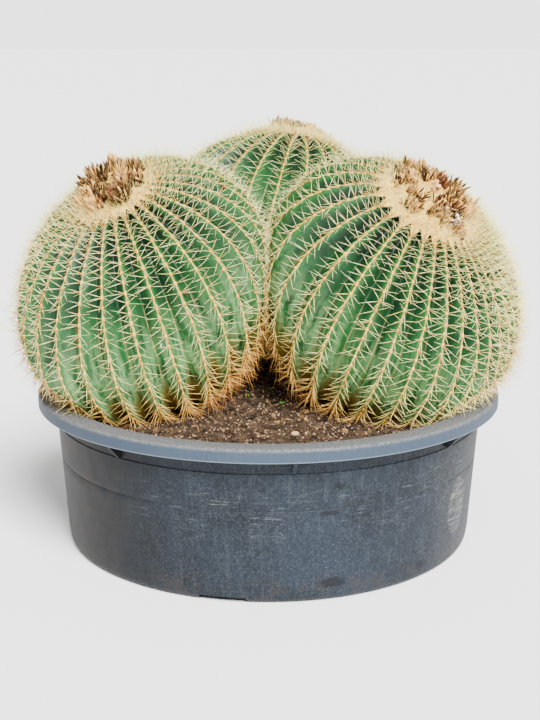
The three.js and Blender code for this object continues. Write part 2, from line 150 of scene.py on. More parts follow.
class Head:
    """One round stem: a tilted, stretched spheroid with ribs, pressed flat against its neighbours and its bed.

    Turns go round its axis and latitudes run from its foot to its crown, both in radians. Its lean, the angle of its
    stretch, the phase of its first rib and the reach of its crown are given in degrees.
    """

    def __init__(self, name, centre, radius, half_height, lean, stretch, ribs, phase, spread, crown):
        self.name = name
        self.centre = np.array(centre)
        self.radius = radius
        self.half_height = half_height
        self.ribs = ribs
        self.phase = radians(phase)
        self.spread = spread
        self.crown = radians(crown)
        self.axis = unit(np.array([sin(radians(lean[0])), -sin(radians(lean[1])), 1.0]))
        self.across = unit(np.cross([0.0, 1.0, 0.0], self.axis))
        self.along = np.cross(self.axis, self.across)
        self.stretch = stretch[0]
        self.stretch_line = np.array([sin(radians(stretch[1])), 0, cos(radians(stretch[1]))])

    def azimuth(self, turn):
        return self.phase + turn + self.spread[0] * np.sin(turn) + self.spread[1] * (1 - np.cos(turn))

    def stretched(self, v, factor):
        return v + self.stretch_line * (factor - 1) * dot(v, self.stretch_line)

    def turned(self, turn, out, up):
        """A vector that goes out from the axis at a turn, and up along it."""
        az = self.azimuth(turn)
        return self.across * column(out * np.cos(az)) + self.along * column(out * np.sin(az)) + self.axis * column(up)

    def normal(self, turn, latitude):
        v = self.turned(turn, np.cos(latitude) / self.radius, np.sin(latitude) / self.half_height)
        return unit(self.stretched(v, 1 / self.stretch))

    def free_point(self, turn, latitude, sink):
        """A point of the stem before it is pressed, sunk below the line of its crests."""
        ring = self.radius * np.maximum(np.cos(latitude), 0) ** np.where(latitude < 0, FOOT_FULLNESS, 1)
        v = self.turned(turn, ring, self.half_height * np.sin(latitude))
        return self.stretched(v, self.stretch) + self.centre - column(sink) * self.normal(turn, latitude)

    def neighbour_planes(self, gap):
        """A point and the outward direction of the plane between this stem and each other one, less a gap."""
        for other in HEADS:
            if other is not self:
                out = unit(other.centre - self.centre)
                yield (self.centre + other.centre) / 2 - out * gap, out

    def point(self, turn, latitude, sink=0.0):
        sink = sink + np.zeros(np.shape(turn))
        p = self.free_point(turn, latitude, sink)
        p = pressed(p, np.array([0, 0, BED_HEIGHT]), np.array([0, 0, -1.0]), BED_SOFTNESS)
        for origin, out in self.neighbour_planes(CONTACT_GAP):
            p = pressed(p, origin, out, CONTACT_SOFTNESS)
        reach = np.hypot(p[..., 0], p[..., 1])
        limit = RIM_SEAT_RADIUS + np.maximum(0, p[..., 2] - RIM_SEAT_HEIGHT) * RIM_SEAT_FLARE - sink
        p[..., :2] *= column(np.minimum(1, limit / reach))
        return p


# Name, centre, radius, half height, lean to the right and to the front, stretch and the angle it is along, number of
# ribs, phase, uneven spread of the ribs, and crown
HEADS = [
    Head("left", (-0.180, -0.080, 0.390), 0.184, 0.148, (-17, 29), (1.2, 10), 28, -104, (0.01, -0.1), 18),
    Head("right", (0.176, -0.080, 0.383), 0.185, 0.164, (23.5, 35), (1.16, -22), 30, -114.8, (0.1, -0.3), 23),
    Head("back", (0.004, 0.232, 0.404), 0.184, 0.193, (12, -14), (1.16, 90), 29, -95, (0, 0), 18),
]


# Pieces

def set_attribute(mesh, name, values):
    made = mesh.attributes.new(name, "FLOAT", "POINT")
    made.data.foreach_set("value", np.asarray(values, np.float32).ravel())


def read_points(mesh):
    points = np.empty(len(mesh.vertices) * 3)
    mesh.vertices.foreach_get("co", points)
    return points.reshape(-1, 3)


def move_points(mesh, points):
    mesh.vertices.foreach_set("co", points.astype(np.float32).ravel())
    mesh.update()


def mesh_of(bm, name):
    bmesh.ops.recalc_face_normals(bm, faces=bm.faces)
    mesh = bpy.data.meshes.new(name)
    bm.to_mesh(mesh)
    bm.free()
    return mesh


def add_piece(name, mesh, material, cad_node, smooth=True):
    mesh.name = name
    mesh.materials.append(material)
    mesh.polygons.foreach_set("use_smooth", [smooth] * len(mesh.polygons))
    piece = bpy.data.objects.new(name, mesh)
    bpy.context.scene.collection.objects.link(piece)
    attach(piece, "root")
    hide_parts(cad_node)
    return piece


def sphere_mesh(around, rows):
    bm = bmesh.new()
    bmesh.ops.create_uvsphere(bm, u_segments=around, v_segments=rows, radius=1)
    return mesh_of(bm, "sphere")


def needle_template(cuts):
    """A three-sided needle from z 0 to 1, thick for most of its length, cut across at the given heights."""
    bm = bmesh.new()
    bmesh.ops.create_cone(bm, cap_ends=True, segments=3, radius1=1, radius2=0, depth=1)
    bmesh.ops.translate(bm, verts=bm.verts, vec=(0, 0, 0.5))
    for height in cuts:
        geom = bm.verts[:] + bm.edges[:] + bm.faces[:]
        bmesh.ops.bisect_plane(bm, geom=geom, plane_co=(0, 0, height), plane_no=(0, 0, 1))
    for vert in bm.verts:
        vert.co.xy *= 1 + 0.6 * vert.co.z
    return mesh_of(bm, "needle")


def crumb_template():
    bm = bmesh.new()
    bmesh.ops.create_cube(bm, size=2)
    return mesh_of(bm, "crumb")


def round_template(divisions):
    bm = bmesh.new()
    bmesh.ops.create_icosphere(bm, subdivisions=divisions, radius=1)
    return mesh_of(bm, "round")


def scattered(template, name, roots, aims, sides, lengths, widths, bends=None, **tones):
    """Copies of a template in one mesh. Its z runs from each root along its aim, x along its side."""
    local = read_points(template)
    aims = unit(aims)
    sides = unit(sides - aims * dot(sides, aims))
    lengths, widths = column(lengths), np.asarray(widths, float)
    if widths.ndim == 1:
        widths = np.stack([widths, widths], axis=-1)
    across = np.cross(aims, sides)
    points = (roots[:, None]
              + local[None, :, 2:3] * (aims * lengths)[:, None]
              + local[None, :, 0:1] * (sides * widths[:, :1])[:, None]
              + local[None, :, 1:2] * (across * widths[:, 1:])[:, None])
    if bends is not None:
        points = points + local[None, :, 2:3] ** 2 * (bends * lengths)[:, None]
    copies, points_each = len(roots), len(local)
    corner_count = len(template.loops)
    corners = np.empty(corner_count, np.int32)
    template.loops.foreach_get("vertex_index", corners)
    starts = np.empty(len(template.polygons), np.int32)
    template.polygons.foreach_get("loop_start", starts)
    mesh = bpy.data.meshes.new(name)
    mesh.vertices.add(copies * points_each)
    mesh.loops.add(copies * corner_count)
    mesh.polygons.add(copies * len(starts))
    mesh.vertices.foreach_set("co", points.astype(np.float32).ravel())
    steps = np.arange(copies)[:, None]
    corners = corners[None] + steps * points_each
    starts = starts[None] + steps * corner_count
    mesh.loops.foreach_set("vertex_index", corners.astype(np.int32).ravel())
    mesh.polygons.foreach_set("loop_start", starts.astype(np.int32).ravel())
    mesh.update(calc_edges=True)
    set_attribute(mesh, "length_share", np.tile(local[:, 2], copies))
    for key, values in tones.items():
        set_attribute(mesh, key, np.repeat(values, points_each))
    return mesh


def joined(name, *meshes):
    """Several meshes made one, with their attributes."""
    bm = bmesh.new()
    for mesh in meshes:
        bm.from_mesh(mesh)
    made = bpy.data.meshes.new(name)
    bm.to_mesh(made)
    bm.free()
    return made


# Shader helpers

def join(tree, value, socket):
    """Links a value to a socket, or sets it there when it is a plain number or colour."""
    if isinstance(value, bpy.types.NodeSocket):
        tree.links.new(value, socket)
    else:
        socket.default_value = value


def node(tree, kind, inputs=None, **settings):
    made = tree.nodes.new("ShaderNode" + kind)
    for key, value in settings.items():
        setattr(made, key, value)
    for key, value in (inputs or {}).items():
        join(tree, value, made.inputs[key])
    return made


def mix(tree, share, base, over):
    """The base with another colour over it, wholly where the share is 1."""
    return node(tree, "Mix", {0: share, 6: base, 7: over}, data_type="RGBA").outputs[2]


def math(tree, operation, a, b):
    return node(tree, "Math", {0: a, 1: b}, operation=operation).outputs[0]


def plus(tree, a, b):
    return math(tree, "ADD", a, b)


def times(tree, a, b):
    return math(tree, "MULTIPLY", a, b)


def tint(tree, base, mask, share, over):
    """The base with another colour over it, up to the share where the mask is 1."""
    return mix(tree, times(tree, mask, share), base, over)


def ease(tree, value, start, end):
    """0 up to the start, 1 from the end on, and smooth between. The end may be the lower of the two."""
    inputs = {"Value": value, "From Min": start, "From Max": end}
    return node(tree, "MapRange", inputs, interpolation_type="SMOOTHSTEP").outputs["Result"]


def noise(tree, where, scale, detail, rough):
    inputs = {"Vector": where, "Scale": scale, "Detail": detail, "Roughness": rough}
    return node(tree, "TexNoise", inputs).outputs["Fac"]


def place(tree, stretch=(1, 1, 1), shift=(0, 0, 0)):
    inputs = {"Vector": node(tree, "TexCoord").outputs["Object"], "Location": shift, "Scale": stretch}
    return node(tree, "Mapping", inputs).outputs["Vector"]


def attribute(tree, name):
    return node(tree, "Attribute", attribute_name=name).outputs["Fac"]


def new_material(name):
    material = bpy.data.materials.new(name)
    material.use_nodes = True
    tree = material.node_tree
    return material, tree, tree.nodes["Principled BSDF"]


def finish(tree, shader, base, roughness, shine=0.5):
    join(tree, base, shader.inputs["Base Color"])
    shader.inputs["Roughness"].default_value = roughness
    shader.inputs["Specular IOR Level"].default_value = shine


def bump(tree, shader, height, distance):
    made = node(tree, "Bump", {"Height": height, "Distance": distance})
    tree.links.new(made.outputs["Normal"], shader.inputs["Normal"])


def colour(r, g, b):
    """A colour given as it looks on a screen, 0 to 255."""
    linear = [((c / 255 + 0.055) / 1.055) ** 2.4 if c > 10 else c / 255 / 12.92 for c in (r, g, b)]
    return (*linear, 1.0)


# Materials

def along_ribs(tree, across, along):
    """Coordinates that follow the ribs, so that a pattern can run along them."""
    inputs = {"X": times(tree, attribute(tree, "turn"), across), "Y": times(tree, attribute(tree, "age"), along)}
    return node(tree, "CombineXYZ", inputs).outputs["Vector"]


def skin_material():
    material, tree, shader = new_material("cactus_skin")
    where = place(tree)
    groove, age = attribute(tree, "groove"), attribute(tree, "age")
    patches = noise(tree, where, 22, 5, 0.6)
    streaks = noise(tree, along_ribs(tree, 28, 7), 1, 5, 0.6)
    scratches = noise(tree, along_ribs(tree, 300, 12), 1, 3, 0.5)
    fine = noise(tree, where, 300, 3, 0.6)
    base = mix(tree, ease(tree, patches, 0.35, 0.65), colour(12, 48, 24), colour(30, 80, 38))

    # A painted highlight of pale green on the older skin, streaked along the ribs, less of it at the sides and back,
    # with fine scratches
    painted_highlight = times(tree, ease(tree, age, 0.3, 0.75), ease(tree, streaks, 0.36, 0.62))
    kept = math(tree, "SUBTRACT", 1.0, times(tree, attribute(tree, "worn"), 0.8))
    base = tint(tree, base, times(tree, painted_highlight, kept), 0.8, colour(122, 164, 104))
    base = tint(tree, base, ease(tree, scratches, 0.64, 0.72), 0.35, colour(150, 176, 130))

    # Painted shade, near black, deep in the grooves near the crown
    young = times(tree, ease(tree, age, 0.5, 0.06), ease(tree, groove, 0.1, 0.7))
    base = tint(tree, base, young, 0.9, colour(4, 18, 9))

    # Corky brown skin in the grooves near the soil, and low down where two stems meet
    low = ease(tree, plus(tree, age, times(tree, streaks, 0.35)), 0.86, 1.04)
    cork = times(tree, low, ease(tree, plus(tree, groove, patches), 0.75, 1.15))
    rust = ease(tree, plus(tree, attribute(tree, "hidden"), times(tree, streaks, 0.8)), 0.62, 1.0)
    brown = mix(tree, fine, colour(46, 34, 8), colour(136, 112, 40))
    base = mix(tree, math(tree, "MAXIMUM", cork, rust), base, brown)

    # A thin dry line at the bottom of each groove, a painted highlight of light green beside each crest, and the
    # golden crest
    crease = times(tree, ease(tree, groove, 0.965, 0.985), ease(tree, scratches, 0.42, 0.5))
    base = tint(tree, base, crease, ease(tree, age, 0.3, 0.45), colour(160, 124, 60))
    crest_highlight = times(tree, ease(tree, groove, 0.06, 0.1), ease(tree, groove, 0.34, 0.14))
    base = tint(tree, base, crest_highlight, 0.4, colour(44, 104, 40))
    golden = mix(tree, fine, colour(120, 76, 12), colour(206, 164, 54))
    base = mix(tree, ease(tree, groove, 0.07, 0.03), base, golden)
    finish(tree, shader, base, 0.42, 0.22)
    bump(tree, shader, fine, 0.0003)
    return material


def spine_material():
    """Cream to yellow, golden at the foot, browner with age and at the sides and back."""
    material, tree, shader = new_material("cactus_spine")
    along, tone, age = (attribute(tree, key) for key in ("length_share", "tone", "age"))
    base = mix(tree, tone, colour(255, 254, 188), colour(255, 246, 138))
    base = tint(tree, base, ease(tree, age, 0.5, 0.9), 0.9, colour(236, 168, 66))
    weathered = times(tree, attribute(tree, "worn"), ease(tree, age, 0.15, 0.6))
    base = tint(tree, base, weathered, 0.6, colour(196, 128, 62))
    base = mix(tree, ease(tree, age, 0.88, 1.0), base, colour(160, 96, 44))
    base = mix(tree, ease(tree, along, 0.4, 0.0), base, colour(212, 142, 34))
    finish(tree, shader, base, 0.4)
    return material


def felt_material(name, light, dark):
    material, tree, shader = new_material(name)
    grain = noise(tree, place(tree), FELT_GRAIN, 4, 0.7)
    patches = noise(tree, place(tree), FELT_GRAIN / 6, 4, 0.7)
    base = mix(tree, ease(tree, plus(tree, grain, patches), 0.7, 1.15), dark, light)
    finish(tree, shader, base, 0.95)
    shader.inputs["Sheen Weight"].default_value = 0.3
    bump(tree, shader, grain, 0.001)
    return material


def petal_material():
    """Dark brown to straw by each flake's tone, some flakes reddish, and all paler towards the tip."""
    material, tree, shader = new_material("dried_petal")
    tone, hue, along = (attribute(tree, key) for key in ("tone", "age", "length_share"))
    grain = noise(tree, place(tree), 600, 3, 0.6)
    base = mix(tree, ease(tree, plus(tree, tone, grain), 0.65, 1.7), colour(28, 13, 5), colour(232, 178, 98))
    base = tint(tree, base, ease(tree, hue, 0.7, 0.9), 0.7, colour(80, 24, 17))
    base = tint(tree, base, ease(tree, along, 0.6, 1.0), 0.35, colour(204, 160, 92))
    finish(tree, shader, base, 0.85, 0.2)
    return material


def toned_material(name, dark, light, roughness=0.9):
    """For small loose things: from dark to light by each one's own tone."""
    material, tree, shader = new_material(name)
    grain = noise(tree, place(tree), 900, 3, 0.6)
    shade = ease(tree, plus(tree, attribute(tree, "tone"), times(tree, grain, 0.5)), 0.1, 1.4)
    finish(tree, shader, mix(tree, shade, dark, light), roughness, 0.2)
    bump(tree, shader, grain, 0.0004)
    return material


def soil_material():
    material, tree, shader = new_material("potting_soil")
    where = place(tree)
    lumps = noise(tree, where, 70, 6, 0.7)
    grains = noise(tree, where, 650, 3, 0.6)
    base = mix(tree, ease(tree, lumps, 0.35, 0.65), colour(16, 11, 8), colour(84, 66, 50))
    base = mix(tree, ease(tree, grains, 0.56, 0.7), base, colour(138, 112, 88))
    base = mix(tree, ease(tree, grains, 0.46, 0.34), base, colour(12, 7, 4))
    finish(tree, shader, base, 0.95, 0.1)
    bump(tree, shader, mix(tree, 0.5, lumps, grains), 0.006)
    return material


# A scraped patch on the tub, and darker spots, the first two of them painted shade in its slots and the rest stains:
# each one's middle and half size
TUB_SCRAPED = ((0.2737, -0.1561, 0.0883), (0.026, 0.03, 0.046))
TUB_STAINS_AND_SLOT_SHADE = [
    ((0.2471, -0.2088, 0.2), (0.008, 0.008, 0.011)),
    ((-0.2455, 0.2075, 0.2), (0.008, 0.008, 0.011)),
    ((0.0965, -0.3057, 0.168), (0.009, 0.02, 0.0045)),
    ((0.0823, -0.3072, 0.130), (0.015, 0.02, 0.0042)),
    ((0.0879, -0.2982, 0.028), (0.020, 0.02, 0.0075)),
    ((0.2141, -0.2249, 0.022), (0.009, 0.02, 0.0060)),
]


def spot(tree, where, middle, size):
    """1 within an oval round its middle, fading out to 0 at its edge."""
    away = node(tree, "VectorMath", {0: where, 1: middle}, operation="SUBTRACT").outputs["Vector"]
    scaled = node(tree, "VectorMath", {0: away, 1: size}, operation="DIVIDE").outputs["Vector"]
    reach = node(tree, "VectorMath", {0: scaled}, operation="LENGTH").outputs["Value"]
    return ease(tree, reach, 1.1, 0.8)


def smeared_place(tree, where):
    """Coordinates on the tub that wander a little, so that the edges of its spots are uneven."""
    across_tub = (0.5 / RIM_RADIUS, 0.5 / RIM_RADIUS, 1 / RIM_TOP)
    inputs = {"Vector": place(tree, across_tub, (0.5, 0.5, 0)), "Scale": 120.0, "Detail": 3.0}
    wander = node(tree, "TexNoise", inputs).outputs["Color"]
    wander = node(tree, "VectorMath", {0: wander, 1: (-0.5, -0.5, -0.5)}).outputs["Vector"]
    wander = node(tree, "VectorMath", {0: wander, "Scale": 0.02}, operation="SCALE").outputs["Vector"]
    return node(tree, "VectorMath", {0: where, 1: wander}).outputs["Vector"]


def tub_material():
    material, tree, shader = new_material("tub_plastic")
    where = place(tree)
    split = node(tree, "SeparateXYZ", {"Vector": where}).outputs
    x, z = split["X"], split["Z"]
    patches = noise(tree, where, 9, 6, 0.65)
    cloud = noise(tree, where, 38, 5, 0.7)
    grain = noise(tree, where, 260, 6, 0.8)
    speckle = noise(tree, where, 620, 3, 0.75)
    runs = noise(tree, place(tree, (150, 150, 12)), 1, 5, 0.7)
    scuffs = noise(tree, place(tree, (26, 26, 420)), 1, 5, 0.75)

    # Dark plastic with a pale grain, upright runs and specks of dust
    base = mix(tree, ease(tree, patches, 0.35, 0.65), colour(9, 13, 20), colour(20, 28, 37))
    base = tint(tree, base, ease(tree, grain, 0.42, 0.72), 0.28, colour(70, 80, 88))
    base = tint(tree, base, ease(tree, runs, 0.5, 0.75), 0.14, colour(86, 92, 96))
    dusty = times(tree, ease(tree, speckle, 0.58, 0.7), ease(tree, cloud, 0.3, 0.6))
    base = tint(tree, base, dusty, 0.5, colour(120, 126, 130))

    # Level scuffs in a band half way up
    band = times(tree, ease(tree, z, 0.075, 0.13), ease(tree, z, 0.185, 0.155))
    rubbed = times(tree, ease(tree, scuffs, 0.54, 0.72), times(tree, band, ease(tree, cloud, 0.4, 0.6)))
    base = tint(tree, base, rubbed, 0.5, colour(124, 130, 134))

    # Painted shade towards the left, with brownish patches there and near the ground too, and painted light towards
    # the right, broken up by the grain
    left = times(tree, ease(tree, x, -0.15, -0.29), ease(tree, cloud, 0.35, 0.6))
    low = times(tree, ease(tree, z, 0.05, 0.012), ease(tree, cloud, 0.45, 0.6))
    base = tint(tree, base, ease(tree, x, -0.06, -0.26), 0.92, colour(7, 9, 12))
    base = tint(tree, base, math(tree, "MAXIMUM", left, low), 0.38, colour(46, 38, 32))
    worn = times(tree, ease(tree, x, 0.2, 0.31), ease(tree, grain, 0.4, 0.65))
    base = tint(tree, base, worn, 0.26, colour(110, 106, 100))

    # The scraped patch, the painted shade in the slots, and the stains
    smeared = smeared_place(tree, where)
    scraped = times(tree, spot(tree, smeared, *TUB_SCRAPED), ease(tree, scuffs, 0.46, 0.6))
    base = tint(tree, base, scraped, 0.55, colour(142, 138, 130))
    for middle, size in TUB_STAINS_AND_SLOT_SHADE:
        base = tint(tree, base, spot(tree, smeared, middle, size), 0.75, colour(7, 9, 13))

    # The rim is paler, with a painted highlight along the lower edge of its lip, and dust on its dusty top
    base = tint(tree, base, ease(tree, z, 0.2105, 0.2125), 0.55, colour(64, 78, 94))
    edge = times(tree, ease(tree, z, 0.2118, 0.2122), ease(tree, z, 0.2142, 0.2132))
    base = tint(tree, base, edge, 0.5, colour(120, 130, 138))
    top = times(tree, ease(tree, z, 0.2255, 0.2305), ease(tree, grain, 0.35, 0.6))
    base = tint(tree, base, top, 0.7, colour(120, 114, 106))
    finish(tree, shader, base, 0.6, 0.2)
    bump(tree, shader, speckle, 0.0002)
    return material


# Stems

def rib_profile(share):
    """How deep the skin lies between a crest, share 0, and a groove, share 1: flat sides with a rounded crest."""
    return (np.hypot(share, CREST_ROUNDING) - CREST_ROUNDING) / (np.hypot(1, CREST_ROUNDING) - CREST_ROUNDING)


def groove_depth(latitude):
    return GROOVE_DEPTH * np.maximum(np.cos(latitude), 0) ** GROOVE_TAPER


def stem_mesh(head, ribs_of_areoles):
    """A ribbed stem. Its points lie closer at the crests, in the grooves and towards the crown."""
    mesh = sphere_mesh(head.ribs * RIB_SEGMENTS, STEM_ROWS)
    points = read_points(mesh)
    spin = np.arctan2(points[:, 1], points[:, 0]) * head.ribs / (2 * pi)
    beside = spin - np.round(spin)
    share = np.abs(beside) * 2
    share = np.clip(share - 0.13 * np.sin(2 * pi * share), 0, 1)
    turn = (np.round(spin) + np.sign(beside) * share / 2) * 2 * pi / head.ribs
    climb = (np.arcsin(np.clip(points[:, 2], -1, 1)) + pi / 2) / pi
    latitude = -pi / 2 + pi * climb ** 0.8
    swell = np.zeros(len(points))
    for rib, marks in enumerate(ribs_of_areoles):
        mine = np.round(spin) % head.ribs == rib
        phase = np.interp(latitude[mine], marks[::-1], np.arange(len(marks)))
        swell[mine] = CREST_SWELL * np.sin(pi * phase) ** 2 * (1 - share[mine]) ** 1.5
    moved = head.point(turn, latitude, groove_depth(latitude) * rib_profile(share) - swell)
    move_points(mesh, moved)
    set_attribute(mesh, "groove", share)
    set_attribute(mesh, "turn", np.abs(turn))
    set_attribute(mesh, "age", age_at(head, latitude))
    set_attribute(mesh, "hidden", hidden_at(head, moved))
    set_attribute(mesh, "worn", sides_and_back_at(moved))
    return mesh


def age_at(head, latitude):
    """0 at the crown and 1 near the soil."""
    return np.clip((pi / 2 - head.crown - latitude) / AGE_REACH, 0, 1)


def hidden_at(head, points):
    """1 low down where two stems meet, fading out towards the open sides and upwards."""
    past = np.max([dot(points - origin, out)[:, 0] for origin, out in head.neighbour_planes(0)], axis=0)
    return np.clip(1 + past / HIDDEN_DEPTH, 0, 1) * np.clip((HIDDEN_TOP - points[:, 2]) / HIDDEN_FADE, 0, 1)


def sides_and_back_at(points):
    """1 on the sides and back of the cluster, where the spines are weathered and the skin keeps less of its painted
    highlight.
    """
    reach = np.maximum(np.abs(points[:, 0]), points[:, 1])
    return np.clip((reach - SIDES_START) / SIDES_FADE, 0, 1)


def areoles(head):
    """The latitudes of the areoles on each rib, evenly spaced down its crest to the soil, closer near the crown."""
    found = []
    line = np.linspace(pi / 2 - head.crown * AREOLE_START, AREOLE_END, 400)
    grown = np.clip((pi / 2 - head.crown * 0.8 - line) / radians(35), 0, 1)
    spacing = AREOLE_SPACING * (0.5 + 0.5 * grown)
    for rib in range(head.ribs):
        crest = head.point(np.full(line.shape, rib * 2 * pi / head.ribs), line)
        shown = crest[:, 2] > soil_height(crest[:, 0], crest[:, 1]) - 0.004
        stride = np.linalg.norm(np.diff(crest, axis=0), axis=1) / spacing[1:]
        travelled = np.concatenate([[0], np.cumsum(stride)])
        marks = np.arange(rng.uniform(0, 1), travelled[shown][-1], 1)
        marks[1:] += rng.uniform(-0.08, 0.08, len(marks) - 1)
        found.append(np.interp(marks, travelled, line))
    return found


def areole_pads(head, turns, latitudes, template):
    spot, up, normal, side = areole_frames(head, turns, latitudes)
    heights = np.full(len(spot), AREOLE_FELT_HEIGHT)
    widths = np.tile(AREOLE_FELT_WIDTHS, (len(spot), 1))
    return scattered(template, "pads", spot, normal, up, heights, widths, tone=rng.uniform(0, 1, len(spot)))


def areole_frames(head, turns, latitudes):
    """Each areole's place, and its directions up the rib, off the skin and across."""
    spot = head.point(turns, latitudes)
    up = unit(head.point(turns, latitudes + 0.02) - head.point(turns, latitudes - 0.02))
    normal = head.normal(turns, latitudes)
    normal = unit(normal - up * dot(normal, up))
    return spot, up, normal, np.cross(up, normal)


# Spines

# One areole's spines: how far each turns from pointing up its rib, how far it stands off the skin, both with a
# spread, in degrees, and its shortest and longest length
SPINE_SET = [
    (70, 18, 40, 16, 0.020, 0.031), (-70, 18, 40, 16, 0.020, 0.031),
    (112, 16, 34, 14, 0.024, 0.036), (-112, 16, 34, 14, 0.024, 0.036),
    (180, 18, 22, 10, 0.019, 0.029), (180, 110, 60, 14, 0.028, 0.042),
]

# Further spines on the areoles at the sides and back, and on those near the soil
FURTHER_SPINES = [
    (40, 50, 58, 16, 0.022, 0.034), (-60, 60, 52, 18, 0.022, 0.036), (150, 60, 44, 16, 0.024, 0.036),
]
SPINE_CURVE = 0.12
OLD_AGE = 0.72
SPINES_PAST_PLANE = 0.007
TIP_HEIGHT = 0.001


def kept_clear(head, tips):
    """Spine tips kept from going far past the planes between the stems, and above the soil and the rim."""
    for origin, out in head.neighbour_planes(-SPINES_PAST_PLANE):
        tips = pressed(tips, origin, out, 0.002)
    reach = np.hypot(tips[:, 0], tips[:, 1])
    ground = np.where(reach < RIM_INNER_RADIUS, soil_height(tips[:, 0], tips[:, 1]), RIM_TOP) + TIP_HEIGHT
    ground = np.where(reach > RIM_RADIUS + TIP_HEIGHT, -1, ground)
    tips[:, 2] = np.maximum(tips[:, 2], ground)
    return tips


def spine_aims(spine_set, up, normal, side, young, old):
    """The direction and length of each of a set of spines on every areole, one spine of the set after another."""
    aims, lengths = [], []
    for angle, angle_spread, rise, rise_spread, shortest, longest in spine_set:
        turned = np.radians(angle + rng.uniform(-angle_spread, angle_spread, len(up)))
        risen = np.radians(rise + rng.uniform(-rise_spread, rise_spread, len(up))) + 0.6 * young
        aim = (column(np.cos(risen) * np.cos(turned)) * up
               + column(np.cos(risen) * np.sin(turned)) * side
               + column(np.sin(risen)) * normal)
        aims.append(unit(aim - column(0.3 * old) * up))
        lengths.append(rng.uniform(shortest, longest, len(up)) * (1 - 0.1 * young + 0.3 * old))
    return np.concatenate(aims), np.concatenate(lengths)


def spines(head, turns, latitudes, spine_set, template):
    """A set of spines on every areole: more upright near the crown, longer and hanging near the soil."""
    spot, up, normal, side = areole_frames(head, turns, latitudes)
    age = np.maximum(age_at(head, latitudes), 0.96 * hidden_at(head, spot))
    young = np.clip(1 - (pi / 2 - head.crown * AREOLE_START - latitudes) / radians(30), 0, 1)
    old = np.clip((age - OLD_AGE) / (1 - OLD_AGE), 0, 1)
    worn = sides_and_back_at(spot)
    aims, lengths = spine_aims(spine_set, up, normal, side, young, old)
    copies = len(spine_set)
    up, normal, old, worn = (np.concatenate([part] * copies) for part in (up, normal, old, worn))
    roots = np.tile(spot, (copies, 1)) - normal * 0.001
    tips = kept_clear(head, roots + aims * column(lengths))
    bends = rng.normal(0, 0.03, roots.shape) - SPINE_CURVE * normal
    bends[:, 2] -= 0.16 * old
    total = len(roots)
    widths = rng.uniform(0.00028, 0.00046, total) * (1 - 0.25 * np.tile(young, copies)) * (1 + 0.4 * worn)
    lengths = np.linalg.norm(tips - roots, axis=1)
    return scattered(template, "spines", roots, tips - roots, up + 0.01, lengths, widths, bends,
                     tone=rng.uniform(0, 1, total), age=np.tile(age, copies), worn=worn)


# Crowns

def wool_height(row, azimuth):
    """How high the felt stands over the crown, from its middle, row 0, where it dips, to its edge, row 1."""
    lump = 0.0011 * np.sin(4 * azimuth) * np.sin(row * pi)
    return 0.002 + 0.009 * np.maximum(0, 1 - row ** 3) - 0.004 * np.exp(-((row * 3.5) ** 2)) + lump


def crown_point(head, row, turn, height):
    """A point over the crown. Its row is its way out from the middle, as a share of the crown's reach."""
    return head.point(turn, pi / 2 - row * head.crown, -height)


def wool_mesh(head):
    """The felt cushion, its edge drawn out along the crests, with an underside just inside the skin."""
    mesh = sphere_mesh(head.ribs * RIB_SEGMENTS, WOOL_ROWS)
    points = read_points(mesh)
    turn = np.arctan2(points[:, 1], points[:, 0])
    latitude = np.arcsin(np.clip(points[:, 2], -1, 1))
    rise = 1 - np.abs(latitude) / (pi / 2)
    row = rise * (1.03 + 0.11 * np.cos(head.ribs * turn))
    tuft = 0.0022 * np.sin(turn * 17 + row * 20) * np.sin(row * 31 + turn * 5) * np.sin(rise * pi)
    over = wool_height(row, head.azimuth(turn)) + tuft - 0.002 * rise ** 6
    height = np.where(latitude >= 0, over, -0.004 * (1 - rise))
    move_points(mesh, crown_point(head, row, turn, height))
    return mesh


def wool_hairs(head, template):
    """Short curled hairs all over the crown, and along the crests just outside it."""
    count = WOOL_HAIRS
    row, turn = np.sqrt(rng.uniform(0, 1.5, count)), rng.uniform(0, 2 * pi, count)
    crest = np.round(turn * head.ribs / (2 * pi)) * 2 * pi / head.ribs
    turn = np.where(row > 0.95, crest + rng.normal(0, 0.025, count), turn)
    root = crown_point(head, row, turn, wool_height(row, head.azimuth(turn)) - 0.002)
    normal = head.normal(turn, pi / 2 - row * head.crown)
    outward = unit(root - crown_point(head, row * 0, turn, 0))
    aim = normal + outward * 0.5 + rng.normal(0, 0.5, root.shape)
    side = rng.normal(0, 1, root.shape)
    lengths, widths = rng.uniform(0.005, 0.013, count), rng.uniform(0.0003, 0.00055, count)
    return scattered(template, "hairs", root, aim, side, lengths, widths, rng.normal(0, 0.3, root.shape),
                     tone=rng.uniform(0, 1, count))


# Each crown's flowers: the side the patch leans to, in degrees round it, how far as a share of the crown, its reach
# towards the front and back as a share of its width, and how tall they are as a share of the common height
FLOWER_PATCH = {"left": (85, 0.04, 1.15, 1.25), "right": (100, 0.0, 1.02, 1.0), "back": (90, 0.13, 0.8, 0.85)}


def flower_places(head, count):
    """The foot, direction and height of every dried flower, in a round patch on the crown."""
    side, lean, squeeze, tallness = FLOWER_PATCH[head.name]
    reach = 0.20 + 0.52 * np.sqrt((np.arange(count) + 0.5) / count)
    swing = np.arange(count) * GOLDEN_TURN + rng.uniform(-0.3, 0.3, count)
    spot = lean * np.exp(1j * radians(side)) + reach * (np.cos(swing) + 1j * squeeze * np.sin(swing))
    line = np.linspace(0, 2 * pi, 400)
    turn = np.interp((np.angle(spot) - head.phase) % (2 * pi), head.azimuth(line) - head.phase, line)
    row = np.abs(spot)
    foot = crown_point(head, row, turn, wool_height(row, head.azimuth(turn)) - 0.002)
    normal = unit(head.normal(turn, pi / 2 - row * head.crown) + rng.normal(0, 0.22, foot.shape))
    return foot, normal, tallness * rng.uniform(0.010, 0.020, count)


